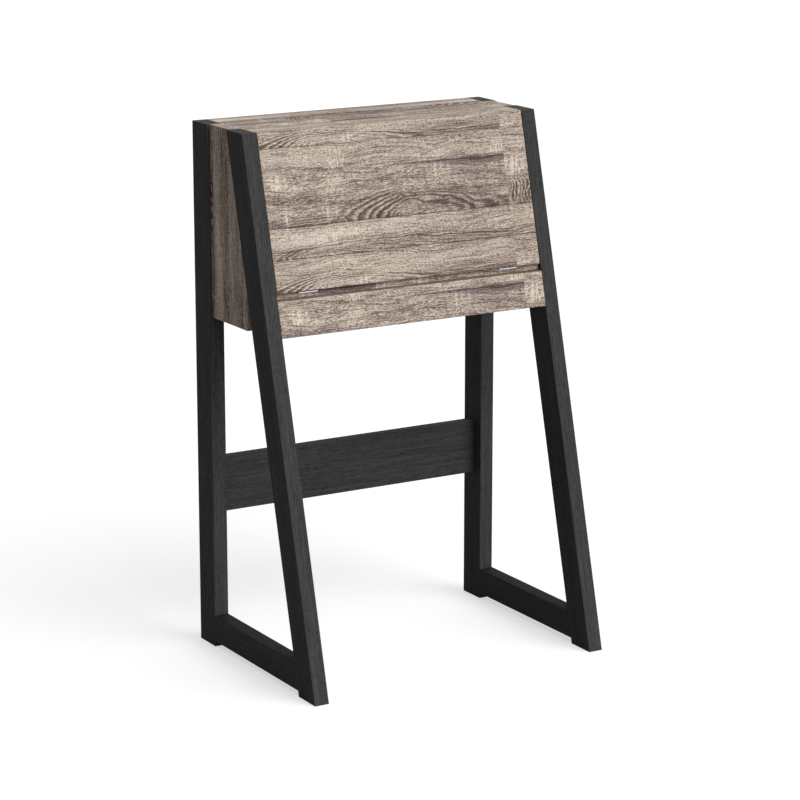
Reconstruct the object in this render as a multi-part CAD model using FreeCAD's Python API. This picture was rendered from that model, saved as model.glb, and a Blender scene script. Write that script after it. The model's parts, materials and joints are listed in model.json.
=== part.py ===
import FreeCAD, Part
import math
import os

os.makedirs("parts", exist_ok=True)

# Drop-front writing desk: two leaning side frames carry a shallow cabinet whose front drops to write on.
# Millimetres. X runs across the desk, Y from the front to the back, Z up from the floor.
# The origin is on the floor, in the middle of the desk's width and depth.

# Side frames
overall_height = 1040.0
overall_width = 647.0
floor_depth = 470.0
top_depth = 204.3
frame_thickness = 30.0
post_depth = 63.0
leg_width = 61.5
floor_rail_height = 52.6
floor_rail_lift = 11.1

# Rail between the rear posts
back_rail_height = 112.3
back_rail_bottom = 266.8
back_rail_thickness = 15.0
back_setback = 26.3

# Cabinet boards
cabinet_height = 374.5
writing_rise = 80.0
writing_board = 12.0
side_panel_thickness = 15.0
side_panel_inset = 5.4
side_panel_gap = 29.9
top_thickness = 15.0
top_rear_setback = 0.8
apron_thickness = 15.0
back_panel_thickness = 12.0
arris = 0.5

# Flap
flap_side_gap = 1.4
flap_top_gap = 1.0
flap_foot_gap = 1.6
flap_rest_gap = 0.3

# Hinges
hinge_inset = 69.6
hinge_length = 40.0
hinge_leaf_width = 16.0
hinge_leaf_thickness = 1.2
hinge_pin_radius = 1.2
hinge_knuckles = 3
hinge_running_gap = 0.05
hinge_end_gap = 0.3
hinge_seat_gap = 0.1

# Stays
stay_share = 0.471
stay_ear_height = 9.0
stay_closed_span = 20.0
stay_arm_width = 14.0
stay_arm_thickness = 2.0
stay_arm_gap = 1.8
stay_tail = 6.0
stay_stud_radius = 2.5
stay_slide_gap = 0.3
stay_rivet_radius = 2.0
stay_head_thickness = 0.9
stay_head_radius = 4.5
stay_plate = 1.5
stay_foot_width = 20.0
stay_foot_length = 28.0
stay_screw_depth = 18.0

# Countersunk wood screws in hinges and brackets
screw_head_radius = 2.7
screw_radius = 1.3
screw_head_depth = 1.1
screw_length = 9.0

# Cam locks, their bolts, and dowels
cam_radius = 7.5
cam_depth = 11.0
cam_reach = 24.0
cam_slot_width = 2.0
cam_slot_depth = 2.5
cam_sides = 10
bolt_radius = 2.5
bolt_bite = 11.0
bolt_head_radius = 3.2
bolt_head_length = 3.0
bolt_head_gap = 0.4
dowel_radius = 4.0
dowel_length = 30.0
fixing_sides = 8
fixing_gap = 0.08
hole_end_gap = 0.5

# Places that follow from the sizes above
lean = math.atan2(floor_depth - top_depth, overall_height)
open_angle = 90.0 + math.degrees(lean)
leg_depth = leg_width / math.cos(lean)
cabinet_bottom = overall_height - cabinet_height
writing_height = cabinet_bottom + writing_rise
half_width = overall_width / 2
frame_inner = half_width - frame_thickness
frame_middle = half_width - frame_thickness / 2
toe = -floor_depth / 2
rear = floor_depth / 2
post_front = rear - post_depth
back_front = post_front + back_setback
side_outer = half_width - side_panel_inset
side_inner = side_outer - side_panel_thickness
side_middle = side_outer - side_panel_thickness / 2
side_front = toe + cabinet_bottom * math.tan(lean) + leg_depth + side_panel_gap
side_panel_width = post_front - side_front
top_under = overall_height - top_thickness
board_under = writing_height - writing_board
apron_top = board_under - flap_rest_gap
flap_half = frame_inner - flap_side_gap

# The hinge pin lies one knuckle radius below the writing surface and as far in front of the flap's inner face
knuckle_radius = hinge_pin_radius + hinge_leaf_thickness
pivot_z = writing_height - knuckle_radius
pivot_cover = writing_board - knuckle_radius
cover_z = pivot_z + pivot_cover * math.sin(lean)
pivot_y = toe + cover_z * math.tan(lean) + pivot_cover * math.cos(lean)
flap_bottom = writing_height + flap_foot_gap
leaf_under = writing_height - hinge_leaf_thickness
knuckle_swell = math.cos(lean) + (1 + math.sin(lean)) * math.tan(lean)
knuckle_notch = knuckle_radius * knuckle_swell + hinge_end_gap

# The stud and the arm's rivet stand equally far from the hinge pin, so the arm turns by half the flap's angle
stay_reach = stay_share * (back_front - pivot_y)
rivet_rise = knuckle_radius + stay_ear_height
stay_radius = math.hypot(stay_reach, rivet_rise)
stay_closed_turn = 2 * math.asin(stay_closed_span / (2 * stay_radius))
stay_open_turn = stay_closed_turn + math.radians(open_angle)
stay_open_span = 2 * stay_radius * math.sin(stay_open_turn / 2)
rivet_bearing = math.pi / 2 - lean - math.atan2(rivet_rise, stay_reach)
stud_bearing = rivet_bearing - stay_closed_turn
rivet_y = pivot_y + stay_radius * math.cos(rivet_bearing)
rivet_z = pivot_z + stay_radius * math.sin(rivet_bearing)
stud_y = pivot_y + stay_radius * math.cos(stud_bearing)
stud_z = pivot_z + stay_radius * math.sin(stud_bearing)
arm_outer = frame_inner - stay_arm_gap
arm_inner = arm_outer - stay_arm_thickness
ear_outer = arm_inner - stay_slide_gap
ear_inner = ear_outer - stay_plate

X_AXIS = FreeCAD.Vector(1, 0, 0)
Y_AXIS = FreeCAD.Vector(0, 1, 0)
Z_AXIS = FreeCAD.Vector(0, 0, 1)
ORIGIN = FreeCAD.Vector(0, 0, 0)
LEAN_BACK = FreeCAD.Vector(0, math.cos(lean), -math.sin(lean))
PIVOT = FreeCAD.Vector(0, pivot_y, pivot_z)


def front_at(z):
    """Y of the leaning front plane at height z."""
    return toe + z * math.tan(lean)


def leg_back_at(z):
    """Y of the rear face of the leaning legs at height z."""
    return front_at(z) + leg_depth


def block(x0, x1, y0, y1, z0, z1):
    """Box between two corners."""
    return Part.makeBox(x1 - x0, y1 - y0, z1 - z0, FreeCAD.Vector(x0, y0, z0))


def prism(x0, x1, outline):
    """Outline of (y, z) points drawn across from x0 to x1."""
    points = [FreeCAD.Vector(x0, y, z) for y, z in outline]
    return flat(points).extrude(FreeCAD.Vector(x1 - x0, 0, 0))


def leaning_board(x0, x1, thickness, bottom, top):
    """Board in the leaning front plane, with its lower and upper edges cut level."""
    run = thickness / math.cos(lean)
    return prism(x0, x1, [
        (front_at(bottom), bottom),
        (front_at(bottom) + run, bottom),
        (front_at(top) + run, top),
        (front_at(top), top),
    ])


def rod(start, direction, radius, length):
    """Round bar from start along direction."""
    return Part.makeCylinder(radius, length, start, direction)


def corners(centre, direction, radius, sides):
    """Corners of a many-sided outline square to direction."""
    turn = FreeCAD.Rotation(Z_AXIS, direction)
    points = []
    for index in range(sides):
        angle = 2 * math.pi * (index + 0.5) / sides
        spoke = FreeCAD.Vector(math.cos(angle), math.sin(angle), 0) * radius
        points.append(centre + turn.multVec(spoke))
    return points


def flat(points):
    """Flat face with these corners."""
    return Part.Face(Part.makePolygon(points + points[:1]))


def peg(start, direction, radius, length, sides=fixing_sides):
    """Many-sided bar, for the small fixings that repeat."""
    return flat(corners(start, direction, radius, sides)).extrude(direction * length)


def tapered(start, direction, wide, narrow, length, sides=fixing_sides):
    """Many-sided bar that narrows evenly along its length."""
    first = corners(start, direction, wide, sides)
    last = corners(start + direction * length, direction, narrow, sides)
    faces = [flat(first), flat(last)]
    for index in range(sides):
        faces.append(flat([first[index - 1], first[index], last[index], last[index - 1]]))
    return Part.makeSolid(Part.makeShell(faces))


def strip(x0, x1, start, end, radius):
    """Flat bar with round ends, between two (y, z) centres."""
    along = FreeCAD.Vector(0, end[0] - start[0], end[1] - start[1]).normalize()
    across = FreeCAD.Vector(0, -along.z, along.y) * radius
    first = FreeCAD.Vector(x0, *start)
    last = FreeCAD.Vector(x0, *end)
    tail = Part.Arc(last + across, last + along * radius, last - across).toShape()
    nose = Part.Arc(first - across, first - along * radius, first + across).toShape()
    upper = Part.makeLine(first + across, last + across)
    lower = Part.makeLine(last - across, first - across)
    return Part.Face(Part.Wire([upper, tail, lower, nose])).extrude(FreeCAD.Vector(x1 - x0, 0, 0))


def eased(board):
    """Board with every arris taken off."""
    return board.makeChamfer(arris, board.Edges)


def same(shape):
    """The piece as drawn, on the right of the desk."""
    return shape


def mirrored(shape):
    """The same piece on the left of the desk."""
    return shape.mirror(ORIGIN, X_AXIS)


SIDES = {"right_": same, "left_": mirrored}


def shut(shape):
    """Piece of the flap, drawn with the flap lying open, turned to the shut flap."""
    turned = shape.copy()
    turned.rotate(PIVOT, X_AXIS, -open_angle)
    return turned


# Small fixings gather their solids here, and each board its holes
fixings = {
    "cam_locks": [],
    "cam_bolts": [],
    "dowels": [],
    "hinge_board_screws": [],
    "hinge_flap_screws": [],
    "stay_bracket_screws": [],
}
holes = {}


def fix(group, solid, *bored):
    """One fixing on each side of the desk, and its hole in each of the boards named."""
    for side, place in SIDES.items():
        if solid:
            fixings[group].append(place(solid))
        for board, hole in bored:
            holes.setdefault(board.replace("SIDE_", side), []).append(place(hole))


def cam_joint(edge_board, face_board, joint, along, towards, thickness):
    """Cam in a board's hidden face, and its bolt in the face that the board's edge meets.

    joint is the point on that face, along points into the board, towards points to the cam's open face.
    """
    mouth = joint + along * cam_reach + towards * (thickness / 2)
    inward = towards * -1
    lock = peg(mouth, inward, cam_radius, cam_depth, cam_sides)
    slot = Part.makeBox(2 * cam_radius, cam_slot_width, cam_slot_depth,
                        FreeCAD.Vector(-cam_radius, -cam_slot_width / 2, 0))
    slot.Placement = FreeCAD.Placement(mouth, FreeCAD.Rotation(Z_AXIS, inward))
    head_start = cam_reach - bolt_head_length / 2
    passage_length = cam_reach + bolt_head_length / 2 + bolt_head_gap
    passage = peg(joint, along, bolt_head_radius + bolt_head_gap, passage_length)
    shank = peg(joint - along * bolt_bite, along, bolt_radius, bolt_bite + head_start)
    head = peg(joint + along * head_start, along, bolt_head_radius, bolt_head_length)
    seat = peg(mouth, inward, cam_radius + fixing_gap, cam_depth + hole_end_gap, cam_sides)
    bite = peg(joint, along * -1, bolt_radius + fixing_gap, bolt_bite + hole_end_gap)
    fix("cam_locks", lock.cut([slot, passage]), (edge_board, seat), (edge_board, passage))
    fix("cam_bolts", shank.fuse(head), (face_board, bite))


def dowel_joint(edge_board, face_board, joint, along):
    """Dowel across a joint, half of it in each board."""
    start = joint - along * (dowel_length / 2)
    dowel = peg(start, along, dowel_radius, dowel_length)
    hole_start = start - along * hole_end_gap
    hole = peg(hole_start, along, dowel_radius + fixing_gap, dowel_length + 2 * hole_end_gap)
    fix("dowels", dowel, (edge_board, hole), (face_board, hole))


def wood_screw(mouth, inward, gap):
    """Countersunk screw whose head lies flush at mouth, made larger by gap for its hole."""
    head = tapered(mouth, inward, screw_head_radius + gap, screw_radius + gap, screw_head_depth)
    shank_start = mouth + inward * screw_head_depth
    shank = peg(shank_start, inward, screw_radius + gap, screw_length - screw_head_depth + gap)
    return head.fuse(shank)


# Black side frames: an upright post, a leaning leg and a floor rail butted between them
post = block(frame_inner, half_width, post_front, rear, 0, overall_height)
leg = leaning_board(frame_inner, half_width, leg_width, 0, overall_height)
floor_rail_top = floor_rail_lift + floor_rail_height
floor_rail = prism(frame_inner, half_width, [
    (leg_back_at(floor_rail_lift), floor_rail_lift),
    (post_front, floor_rail_lift),
    (post_front, floor_rail_top),
    (leg_back_at(floor_rail_top), floor_rail_top),
])
for share in (1 / 4, 3 / 4):
    dowel_z = floor_rail_lift + floor_rail_height * share
    rear_joint = FreeCAD.Vector(frame_middle, post_front, dowel_z)
    dowel_joint("SIDE_floor_rail", "SIDE_rear_post", rear_joint, Y_AXIS * -1)
    front_joint = FreeCAD.Vector(frame_middle, leg_back_at(dowel_z), dowel_z)
    dowel_joint("SIDE_floor_rail", "SIDE_front_leg", front_joint, LEAN_BACK)

# Back rail: set back between the posts, with its cams on the rear face
back_rail_top = back_rail_bottom + back_rail_height
back_rail = block(-frame_inner, frame_inner, back_front, back_front + back_rail_thickness,
                  back_rail_bottom, back_rail_top)
rail_middle_z = back_rail_bottom + back_rail_height / 2
rail_middle = FreeCAD.Vector(frame_inner, back_front + back_rail_thickness / 2, rail_middle_z)
cam_joint("back_rail", "SIDE_rear_post", rail_middle, X_AXIS * -1, Y_AXIS, back_rail_thickness)
for share in (-1 / 3, 1 / 3):
    dowel_joint("back_rail", "SIDE_rear_post", rail_middle + Z_AXIS * (back_rail_height * share), X_AXIS * -1)

# Back panel: closes the cabinet in the same plane as the back rail
back_panel = block(-frame_inner, frame_inner, back_front, back_front + back_panel_thickness,
                   cabinet_bottom, top_under)
for share in (1 / 5, 4 / 5):
    cam_z = cabinet_bottom + (top_under - cabinet_bottom) * share
    back_joint = FreeCAD.Vector(frame_inner, back_front + back_panel_thickness / 2, cam_z)
    cam_joint("back_panel", "SIDE_rear_post", back_joint, X_AXIS * -1, Y_AXIS, back_panel_thickness)

# Side panels: rectangles between post and leg, cut to the leg's lean in front
before_leg_back = prism(0, overall_width, [
    (toe, 0),
    (leg_back_at(0), 0),
    (leg_back_at(2 * overall_height), 2 * overall_height),
    (toe, 2 * overall_height),
])
side_panel = block(side_inner, side_outer, side_front, post_front, cabinet_bottom, overall_height)
side_panel = side_panel.cut(before_leg_back)
side_height = overall_height - cabinet_bottom
for share in (1 / 8, 3 / 4):
    post_joint = FreeCAD.Vector(side_middle, post_front, cabinet_bottom + side_height * share)
    cam_joint("SIDE_side_panel", "SIDE_rear_post", post_joint, Y_AXIS * -1, X_AXIS * -1, side_panel_thickness)
cam_z = cabinet_bottom + side_height * 3 / 5
leg_joint = FreeCAD.Vector(side_middle, leg_back_at(cam_z), cam_z)
cam_joint("SIDE_side_panel", "SIDE_front_leg", leg_joint, LEAN_BACK, X_AXIS * -1, side_panel_thickness)

# Top panel: between the side panels, notched round the posts and legs, its front edge parallel to the flap
flap_back = writing_board / math.cos(lean) + flap_top_gap
top_panel = prism(-side_inner, side_inner, [
    (front_at(top_under) + flap_back, top_under),
    (rear - top_rear_setback, top_under),
    (rear - top_rear_setback, overall_height),
    (front_at(overall_height) + flap_back, overall_height),
])
frame_solids = [post, leg, mirrored(post), mirrored(leg)]
top_panel = top_panel.cut(frame_solids)
top_middle = top_under + top_thickness / 2
top_joint = FreeCAD.Vector(side_inner, (leg_back_at(top_middle) + post_front) / 2, top_middle)
cam_joint("top_panel", "SIDE_side_panel", top_joint, X_AXIS * -1, Z_AXIS * -1, top_thickness)

# Desk board: between the side panels, notched the same way, its front edge over the hinge pins
desk_board = block(-side_inner, side_inner, pivot_y, back_front, board_under, writing_height)
desk_board = desk_board.cut(frame_solids)
for share in (1 / 4, 3 / 4):
    board_cam_y = side_front + side_panel_width * share
    board_joint = FreeCAD.Vector(side_inner, board_cam_y, board_under + writing_board / 2)
    cam_joint("desk_board", "SIDE_side_panel", board_joint, X_AXIS * -1, Z_AXIS * -1, writing_board)

# Apron: between the legs below the board, its face flush with theirs
apron = leaning_board(-frame_inner, frame_inner, apron_thickness, cabinet_bottom, apron_top)
apron_middle = apron_thickness / math.cos(lean) / 2
apron_height = apron_top - cabinet_bottom
cam_z = cabinet_bottom + apron_height * 2 / 3
apron_cam = FreeCAD.Vector(frame_inner, front_at(cam_z) + apron_middle, cam_z)
cam_joint("apron", "SIDE_front_leg", apron_cam, X_AXIS * -1, LEAN_BACK, apron_thickness)
dowel_z = cabinet_bottom + apron_height / 4
apron_dowel = FreeCAD.Vector(frame_inner, front_at(dowel_z) + apron_middle, dowel_z)
dowel_joint("apron", "SIDE_front_leg", apron_dowel, X_AXIS * -1)

# Flap: flush with the legs, its edges cut level at the top and over the desk board
flap = leaning_board(-flap_half, flap_half, writing_board, flap_bottom, overall_height)

# Hinges: two leaves let in flush, one in the desk board and one in the flap, with knuckles down in the seam
hinge_x = flap_half - hinge_inset
hinge_start = hinge_x - hinge_length / 2
hinge_end = hinge_x + hinge_length / 2
knuckle_pitch = hinge_length / hinge_knuckles


def hinge_leaf(direction, own_knuckles):
    """Leaf drawn with the flap lying open, running from the pin to the front (-1) or the back (+1)."""
    span = sorted((pivot_y, pivot_y + direction * hinge_leaf_width))
    leaf = block(hinge_start, hinge_end, *span, leaf_under, writing_height)
    clear = sorted((pivot_y - direction * knuckle_radius, pivot_y + direction * knuckle_notch))
    for index in range(hinge_knuckles):
        start = hinge_start + index * knuckle_pitch
        if index in own_knuckles:
            knuckle_at = FreeCAD.Vector(start + hinge_end_gap / 2, pivot_y, pivot_z)
            leaf = leaf.fuse(rod(knuckle_at, X_AXIS, knuckle_radius, knuckle_pitch - hinge_end_gap))
        else:
            end = start + knuckle_pitch
            leaf = leaf.cut(block(start - hinge_end_gap / 2, end + hinge_end_gap / 2, *clear,
                                  leaf_under, writing_height))
    pin_hole = rod(FreeCAD.Vector(hinge_start, pivot_y, pivot_z), X_AXIS,
                   hinge_pin_radius + hinge_running_gap, hinge_length)
    return leaf.cut(pin_hole).removeSplitter()


def leaf_screws(direction):
    """Mouths of a leaf's screws, drawn with the flap lying open."""
    y = pivot_y + direction * hinge_leaf_width * 2 / 3
    return [FreeCAD.Vector(hinge_x + hinge_length * share, y, writing_height) for share in (-1 / 4, 1 / 4)]


board_leaf = hinge_leaf(1, range(0, hinge_knuckles, 2))
flap_leaf = hinge_leaf(-1, range(1, hinge_knuckles, 2))
hinge_pin = rod(FreeCAD.Vector(hinge_start, pivot_y, pivot_z), X_AXIS, hinge_pin_radius, hinge_length)

seat_start = hinge_start - hinge_seat_gap
seat_end = hinge_end + hinge_seat_gap
seat_reach = hinge_leaf_width + hinge_seat_gap
above = writing_height + arris
knuckle_under = pivot_z - knuckle_radius - hinge_end_gap
board_seat = block(seat_start, seat_end, pivot_y, pivot_y + seat_reach, leaf_under, above)
knuckle_seat = block(seat_start, seat_end, pivot_y - arris, pivot_y + knuckle_notch, knuckle_under, above)
flap_seat = block(seat_start, seat_end, pivot_y - seat_reach, pivot_y, leaf_under, above)
fix(None, None, ("desk_board", board_seat), ("desk_board", knuckle_seat), ("flap", shut(flap_seat)))
for mouth in leaf_screws(1):
    hole = wood_screw(mouth, Z_AXIS * -1, fixing_gap)
    fix("hinge_board_screws", wood_screw(mouth, Z_AXIS * -1, 0), ("desk_board", hole))
    board_leaf = board_leaf.cut(hole)
for mouth in leaf_screws(-1):
    hole = wood_screw(mouth, Z_AXIS * -1, fixing_gap)
    fix("hinge_flap_screws", shut(wood_screw(mouth, Z_AXIS * -1, 0)), ("flap", shut(hole)))
    flap_leaf = flap_leaf.cut(hole)

# Stay arms: slotted bars, each riveted to a bracket on the flap and sliding on a stud in the leg
arm_along = FreeCAD.Vector(0, stud_y - rivet_y, stud_z - rivet_z).normalize()


def on_arm(distance):
    """(y, z) of a point on the shut arm's middle line, measured from its rivet."""
    return (rivet_y + arm_along.y * distance, rivet_z + arm_along.z * distance)


slot_end = stay_open_span + stay_slide_gap
arm = strip(arm_inner, arm_outer, on_arm(0), on_arm(slot_end + stay_tail), stay_arm_width / 2)
arm_slot = strip(arm_inner, arm_outer, on_arm(stay_closed_span - stay_slide_gap), on_arm(slot_end),
                 stay_stud_radius + stay_slide_gap)
arm_bore = rod(FreeCAD.Vector(arm_inner, rivet_y, rivet_z), X_AXIS,
               stay_rivet_radius + hinge_running_gap, stay_arm_thickness)
arm = arm.cut([arm_slot, arm_bore])

# Stay studs: a collar against the leg, a neck through the slot, a head, and a screw into the leg
stud_at = FreeCAD.Vector(frame_inner, stud_y, stud_z)
stud_neck = frame_inner - arm_inner + stay_slide_gap
stud = rod(stud_at, X_AXIS * -1, stay_stud_radius, stud_neck)
stud = stud.fuse([
    peg(stud_at, X_AXIS * -1, stay_head_radius, stay_arm_gap - stay_slide_gap, cam_sides),
    peg(stud_at - X_AXIS * stud_neck, X_AXIS * -1, stay_head_radius, stay_plate, cam_sides),
    peg(stud_at, X_AXIS, stay_rivet_radius, stay_screw_depth),
])
stud_hole = peg(stud_at, X_AXIS, stay_rivet_radius + fixing_gap, stay_screw_depth + hole_end_gap)
fix(None, None, ("SIDE_front_leg", stud_hole))

# Stay brackets, drawn with the flap lying open: a foot on its inner face and an ear that carries the rivet
foot_y = pivot_y - stay_reach
foot_front = foot_y - stay_foot_length / 2
foot_back = foot_y + stay_foot_length / 2
foot = block(ear_outer - stay_foot_width, ear_outer, foot_front, foot_back,
             writing_height, writing_height + stay_plate)
ear_at = (foot_y, writing_height + stay_ear_height)
ear = strip(ear_inner, ear_outer, (foot_y, writing_height), ear_at, stay_arm_width / 2)
in_flap = block(ear_inner, ear_outer, foot_y - stay_foot_length, foot_y + stay_foot_length,
                writing_height - stay_foot_length, writing_height)
ear_bore = rod(FreeCAD.Vector(ear_inner, *ear_at), X_AXIS, stay_rivet_radius + fixing_gap, stay_plate)
bracket = foot.fuse(ear).cut([in_flap, ear_bore]).removeSplitter()
for share in (-1 / 4, 1 / 4):
    mouth = FreeCAD.Vector(ear_outer - stay_foot_width * 2 / 3, foot_y + stay_foot_length * share,
                           writing_height + stay_plate)
    hole = wood_screw(mouth, Z_AXIS * -1, fixing_gap)
    fix("stay_bracket_screws", shut(wood_screw(mouth, Z_AXIS * -1, 0)), ("flap", shut(hole)))
    bracket = bracket.cut(hole)

# Stay rivets: a shank through ear and arm with a flat head at each end
rivet_at = FreeCAD.Vector(ear_inner, *ear_at)
rivet_grip = arm_outer - ear_inner + stay_slide_gap
rivet = rod(rivet_at, X_AXIS, stay_rivet_radius, rivet_grip)
rivet = rivet.fuse([
    peg(rivet_at, X_AXIS * -1, stay_head_radius, stay_head_thickness, cam_sides),
    peg(rivet_at + X_AXIS * rivet_grip, X_AXIS, stay_head_radius, stay_head_thickness, cam_sides),
])

# Every node of the desk
nodes = {
    "back_rail": eased(back_rail),
    "top_panel": eased(top_panel),
    "desk_board": eased(desk_board),
    "apron": eased(apron),
    "back_panel": eased(back_panel),
    "flap": eased(flap),
}
paired = {
    "rear_post": eased(post),
    "front_leg": eased(leg),
    "floor_rail": eased(floor_rail),
    "side_panel": eased(side_panel),
    "hinge_board_leaf": board_leaf,
    "hinge_flap_leaf": shut(flap_leaf),
    "hinge_pin": hinge_pin,
    "stay_arm": arm,
    "stay_stud": stud,
    "stay_bracket": shut(bracket),
    "stay_rivet": shut(rivet),
}
for name, shape in paired.items():
    for side, place in SIDES.items():
        nodes[side + name] = place(shape)
for board, tools in holes.items():
    nodes[board] = nodes[board].cut(tools)
for group, solids in fixings.items():
    nodes[group] = Part.makeCompound(solids)

for node, shape in nodes.items():
    shape.exportStep("parts/" + node + ".step")
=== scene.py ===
import json
import math

import bmesh
import bpy
from mathutils import Matrix, Quaternion, Vector


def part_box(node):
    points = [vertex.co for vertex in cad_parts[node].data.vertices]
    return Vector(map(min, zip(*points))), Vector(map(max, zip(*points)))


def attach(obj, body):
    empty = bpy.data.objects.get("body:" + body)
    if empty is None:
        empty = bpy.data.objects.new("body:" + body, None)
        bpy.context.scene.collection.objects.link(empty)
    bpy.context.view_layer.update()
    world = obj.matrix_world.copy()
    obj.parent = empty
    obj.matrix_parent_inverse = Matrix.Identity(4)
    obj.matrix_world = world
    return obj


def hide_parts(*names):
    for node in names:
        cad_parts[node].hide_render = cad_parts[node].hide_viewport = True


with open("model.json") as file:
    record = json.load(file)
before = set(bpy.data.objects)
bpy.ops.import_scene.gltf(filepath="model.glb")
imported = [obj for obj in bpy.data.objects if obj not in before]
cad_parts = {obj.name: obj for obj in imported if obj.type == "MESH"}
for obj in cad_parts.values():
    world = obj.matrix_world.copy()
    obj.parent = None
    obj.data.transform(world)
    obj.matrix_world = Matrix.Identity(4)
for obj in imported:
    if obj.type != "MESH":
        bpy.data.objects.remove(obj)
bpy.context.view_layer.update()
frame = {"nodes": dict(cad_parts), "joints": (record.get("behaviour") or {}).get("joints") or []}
nodes = frame["nodes"]

# Side frames
# Each is an upright rear post, a front leg that leans back and a floor rail between them. They are cut from
# thick board wrapped in black laminate, pressed with a fine open grain that runs along every length.

# On the slope of an eased edge each part of the normal stays below slope_limit. A face looks along an axis
# where that part of its normal is above facing_limit.
slope_limit = 0.9
facing_limit = 0.7
laminate_sheen = 0.02
# Painted shade: faces of the black laminate that look to the left or right are darkened by this much
sideways_painted_shade = (0.84, 0.84, 0.84)
# Painted shade: the tops of the floor rails keep this share of their colour
floor_rail_top_painted_shade = 0.40


def add(tree, kind, **settings):
    """A new node in a tree, with its settings."""
    made = tree.nodes.new(kind)
    for name, value in settings.items():
        setattr(made, name, value)
    return made


def feed(tree, socket, value):
    """Joins a socket to another one, or sets a plain value on it."""
    if isinstance(value, bpy.types.NodeSocket):
        tree.links.new(value, socket)
    else:
        socket.default_value = value


def maths(tree, operation, *values):
    """Result of one step of arithmetic."""
    made = add(tree, "ShaderNodeMath", operation=operation)
    for socket, value in zip(made.inputs, values):
        feed(tree, socket, value)
    return made.outputs[0]


def times(tree, *values):
    """Product of several values."""
    result = values[0]
    for value in values[1:]:
        result = maths(tree, "MULTIPLY", result, value)
    return result


def most(tree, *values):
    """Largest of several values."""
    result = values[0]
    for value in values[1:]:
        result = maths(tree, "MAXIMUM", result, value)
    return result


def weighed(tree, base, *parts):
    """A base plus several values, each times its weight."""
    result = base
    for value, weight in parts:
        result = maths(tree, "MULTIPLY_ADD", value, weight, result)
    return result


def fade(tree, value, start, end):
    """Runs smoothly from 0 at start to 1 at end."""
    made = add(tree, "ShaderNodeMapRange", interpolation_type="SMOOTHSTEP")
    feed(tree, made.inputs["Value"], value)
    feed(tree, made.inputs["From Min"], start)
    feed(tree, made.inputs["From Max"], end)
    return made.outputs["Result"]


def vector(tree, x, y, z):
    """Three values as one vector."""
    made = add(tree, "ShaderNodeCombineXYZ")
    feed(tree, made.inputs[0], x)
    feed(tree, made.inputs[1], y)
    feed(tree, made.inputs[2], z)
    return made.outputs[0]


def axes(tree, value):
    """The three parts of a vector."""
    made = add(tree, "ShaderNodeSeparateXYZ")
    feed(tree, made.inputs[0], value)
    return made.outputs


def laid(tree, value, turn, start=(0, 0, 0)):
    """A place or a direction, turned and then moved to its start."""
    made = add(tree, "ShaderNodeMapping")
    feed(tree, made.inputs["Vector"], value)
    made.inputs["Rotation"].default_value = turn
    made.inputs["Location"].default_value = start
    return made.outputs[0]


def stretched_noise(tree, place, long, wide, seed, detail=2.0):
    """Noise about long metres along the grain and wide metres across it, from 0 to 1 around a half."""
    scaled = add(tree, "ShaderNodeVectorMath", operation="MULTIPLY_ADD")
    feed(tree, scaled.inputs[0], place)
    scaled.inputs[1].default_value = (1 / long, 1 / wide, 1 / wide)
    scaled.inputs[2].default_value = (seed * 1.7, seed * 2.3, seed * 3.1)
    made = add(tree, "ShaderNodeTexNoise")
    feed(tree, made.inputs["Vector"], scaled.outputs[0])
    made.inputs["Scale"].default_value = 1.0
    made.inputs["Detail"].default_value = detail
    return made.outputs["Fac"]


def tones(tree, value, *stops):
    """Colour for a value, from pairs of a place and a colour."""
    made = add(tree, "ShaderNodeValToRGB")
    feed(tree, made.inputs[0], value)
    points = made.color_ramp.elements
    while len(points) < len(stops):
        points.new(0.5)
    for point, (place, colour) in zip(points, stops):
        point.position = place
        point.color = (*colour, 1.0)
    return made.outputs["Color"]


def shade(tree, colour, roughness, relief, depth):
    """The surface shader of a material, with the relief given as a height in metres."""
    shader = tree.nodes["Principled BSDF"]
    feed(tree, shader.inputs["Base Color"], colour)
    feed(tree, shader.inputs["Roughness"], roughness)
    bump = add(tree, "ShaderNodeBump")
    bump.inputs["Distance"].default_value = depth
    feed(tree, bump.inputs["Height"], relief)
    tree.links.new(bump.outputs[0], shader.inputs["Normal"])
    return shader


def arris(tree, normal):
    """1 on the small slopes between the faces of a board, from the parts of a normal, and 0 on the faces."""
    across = [maths(tree, "ABSOLUTE", part) for part in normal]
    return maths(tree, "LESS_THAN", most(tree, *across), slope_limit)


def looking(tree, part):
    """1 on the faces that look along an axis, from that part of their normal, and 0 on the others."""
    return maths(tree, "GREATER_THAN", part, facing_limit)


def tinted(tree, colour, share, tint):
    """A colour multiplied by a tint as far as its share says, used for print colour and for painted shade.
    """
    made = add(tree, "ShaderNodeMix", data_type="RGBA", blend_type="MULTIPLY")
    feed(tree, made.inputs[0], share)
    feed(tree, made.inputs[6], colour)
    made.inputs[7].default_value = (*tint, 1.0)
    return made.outputs[2]


def new_material(name):
    """A new material and the tree of its nodes."""
    material = bpy.data.materials.new(name)
    material.use_nodes = True
    return material, material.node_tree


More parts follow.
